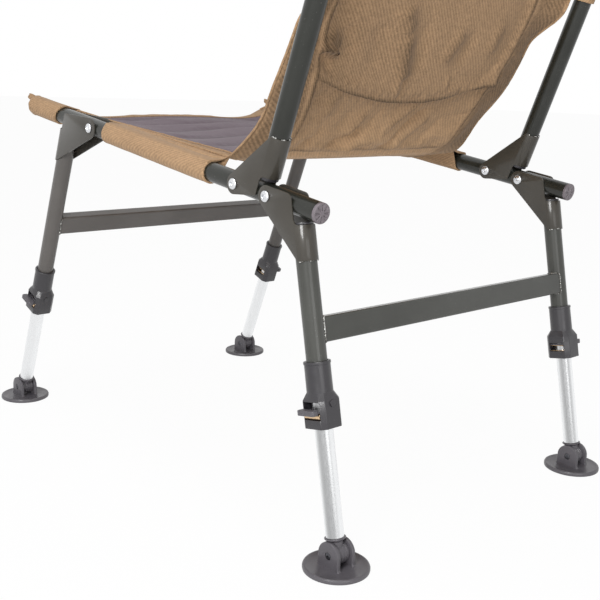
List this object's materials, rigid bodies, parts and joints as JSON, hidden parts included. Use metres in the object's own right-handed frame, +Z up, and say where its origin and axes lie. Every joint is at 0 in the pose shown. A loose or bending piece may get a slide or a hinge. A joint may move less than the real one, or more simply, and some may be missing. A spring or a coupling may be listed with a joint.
{
  "type": "carp fishing chair",
  "caption": "Folding low chair: steel tube frame, padded fabric seat and back, telescopic legs with press locks and round swivelling mud feet.",
  "frame": {"origin": "on the ground, in the middle of the bounding box's footprint", "axes": "+Z up, -Y the way the sitter faces, +X to the sitter's left"},
  "size_m": [0.5806, 0.9324, 1.0785],
  "materials": {
    "painted_steel": "satin dark olive grey",
    "bright_aluminium": "bright",
    "zinc_steel": "bright zinc",
    "spring_brass": "bright",
    "black_plastic": "moulded, satin",
    "grey_plastic": "moulded, matte",
    "tan_fabric": "woven twill"
  },
  "bodies": {
    "seat_frame": {"rail_left": "painted_steel", "rail_right": "painted_steel", "rail_end_plug_left": "black_plastic", "rail_end_plug_right": "black_plastic", "front_leg_pivot_bolt_left": "zinc_steel", "front_leg_pivot_bolt_right": "zinc_steel", "backrest_pivot_bolt_left": "zinc_steel", "backrest_pivot_bolt_right": "zinc_steel", "rear_leg_pivot_bolt_left": "zinc_steel", "rear_leg_pivot_bolt_right": "zinc_steel", "seat_pad": "tan_fabric"},
    "backrest": {"backrest_bracket_left": "painted_steel", "backrest_bracket_right": "painted_steel", "backrest_tube_left": "painted_steel", "backrest_tube_right": "painted_steel", "backrest_tube_plug_left": "black_plastic", "backrest_tube_plug_right": "black_plastic", "backrest_hoop_top": "painted_steel", "back_pad": "tan_fabric", "lower_back_pad": "tan_fabric"},
    "front_legs": {"front_leg_bracket_left": "painted_steel", "front_leg_bracket_right": "painted_steel", "front_leg_tube_left": "painted_steel", "front_leg_tube_right": "painted_steel", "front_left_adjuster": "black_plastic", "front_right_adjuster": "black_plastic", "front_left_lock_spring": "spring_brass", "front_right_lock_spring": "spring_brass", "front_crossbar": "painted_steel"},
    "front_left_lock": {"front_left_lock_lever": "grey_plastic"},
    "front_left_extension": {"front_left_extension_tube": "bright_aluminium", "front_left_foot_knuckle": "grey_plastic"},
    "front_left_foot": {"front_left_foot_pad": "grey_plastic", "front_left_foot_pin": "zinc_steel"},
    "front_right_lock": {"front_right_lock_lever": "grey_plastic"},
    "front_right_extension": {"front_right_extension_tube": "bright_aluminium", "front_right_foot_knuckle": "grey_plastic"},
    "front_right_foot": {"front_right_foot_pad": "grey_plastic", "front_right_foot_pin": "zinc_steel"},
    "rear_legs": {"rear_leg_bracket_left": "painted_steel", "rear_leg_bracket_right": "painted_steel", "rear_leg_tube_left": "painted_steel", "rear_leg_tube_right": "painted_steel", "rear_leg_top_plug_left": "black_plastic", "rear_leg_top_plug_right": "black_plastic", "rear_left_adjuster": "black_plastic", "rear_right_adjuster": "black_plastic", "rear_left_lock_spring": "spring_brass", "rear_right_lock_spring": "spring_brass", "rear_crossbar": "painted_steel"},
    "rear_left_lock": {"rear_left_lock_lever": "grey_plastic"},
    "rear_left_extension": {"rear_left_extension_tube": "bright_aluminium", "rear_left_foot_knuckle": "grey_plastic"},
    "rear_left_foot": {"rear_left_foot_pad": "grey_plastic", "rear_left_foot_pin": "zinc_steel"},
    "rear_right_lock": {"rear_right_lock_lever": "grey_plastic"},
    "rear_right_extension": {"rear_right_extension_tube": "bright_aluminium", "rear_right_foot_knuckle": "grey_plastic"},
    "rear_right_foot": {"rear_right_foot_pad": "grey_plastic", "rear_right_foot_pin": "zinc_steel"}
  },
  "joints": [
    {"name": "backrest_fold", "type": "hinge", "parent": "seat_frame", "child": "backrest", "pos_m": [0, 0.17663, 0.43395], "axis": [1, 0, 0], "range_deg": [0, 90], "deforming": ["lower_back_pad"]},
    {"name": "front_legs_fold", "type": "hinge", "parent": "seat_frame", "child": "front_legs", "pos_m": [0, -0.16456, 0.483], "axis": [1, 0, 0], "range_deg": [0, 85]},
    {"name": "rear_legs_fold", "type": "hinge", "parent": "seat_frame", "child": "rear_legs", "pos_m": [0, 0.23771, 0.42518], "axis": [1, 0, 0], "range_deg": [-95, 0]},
    {"name": "front_left_extension_slide", "type": "slide", "parent": "front_legs", "child": "front_left_extension", "axis": [0, 0.3649, 0.9311], "range_m": [-0.03, 0.09]},
    {"name": "front_left_foot_swivel", "type": "hinge", "parent": "front_left_extension", "child": "front_left_foot", "pos_m": [0.25, -0.42592, 0.02], "axis": [1, 0, 0], "range_deg": [-60, 60]},
    {"name": "front_left_lock_press", "type": "hinge", "parent": "front_legs", "child": "front_left_lock", "pos_m": [0.2374, -0.35898, 0.19079], "axis": [0, 0.9311, -0.3649], "range_deg": [0, 7], "stiffness_Nm_per_rad": 0.5, "springref_deg": -8.59, "deforming": ["front_left_lock_spring"]},
    {"name": "front_right_extension_slide", "type": "slide", "parent": "front_legs", "child": "front_right_extension", "axis": [0, 0.3649, 0.9311], "range_m": [-0.03, 0.09]},
    {"name": "front_right_foot_swivel", "type": "hinge", "parent": "front_right_extension", "child": "front_right_foot", "pos_m": [-0.25, -0.42592, 0.02], "axis": [1, 0, 0], "range_deg": [-60, 60]},
    {"name": "front_right_lock_press", "type": "hinge", "parent": "front_legs", "child": "front_right_lock", "pos_m": [-0.2374, -0.35898, 0.19079], "axis": [0, -0.9311, 0.3649], "range_deg": [0, 7], "stiffness_Nm_per_rad": 0.5, "springref_deg": -8.59, "deforming": ["front_right_lock_spring"]},
    {"name": "rear_left_extension_slide", "type": "slide", "parent": "rear_legs", "child": "rear_left_extension", "axis": [0, -0.2011, 0.9796], "range_m": [-0.03, 0.09]},
    {"name": "rear_left_foot_swivel", "type": "hinge", "parent": "rear_left_extension", "child": "rear_left_foot", "pos_m": [0.25, 0.36579, 0.02], "axis": [1, 0, 0], "range_deg": [-60, 60]},
    {"name": "rear_left_lock_press", "type": "hinge", "parent": "rear_legs", "child": "rear_left_lock", "pos_m": [0.2374, 0.33148, 0.18717], "axis": [0, 0.9796, 0.2011], "range_deg": [0, 7], "stiffness_Nm_per_rad": 0.5, "springref_deg": -8.59, "deforming": ["rear_left_lock_spring"]},
    {"name": "rear_right_extension_slide", "type": "slide", "parent": "rear_legs", "child": "rear_right_extension", "axis": [0, -0.2011, 0.9796], "range_m": [-0.03, 0.09]},
    {"name": "rear_right_foot_swivel", "type": "hinge", "parent": "rear_right_extension", "child": "rear_right_foot", "pos_m": [-0.25, 0.36579, 0.02], "axis": [1, 0, 0], "range_deg": [-60, 60]},
    {"name": "rear_right_lock_press", "type": "hinge", "parent": "rear_legs", "child": "rear_right_lock", "pos_m": [-0.2374, 0.33148, 0.18717], "axis": [0, -0.9796, -0.2011], "range_deg": [0, 7], "stiffness_Nm_per_rad": 0.5, "springref_deg": -8.59, "deforming": ["rear_right_lock_spring"]}
  ]
}
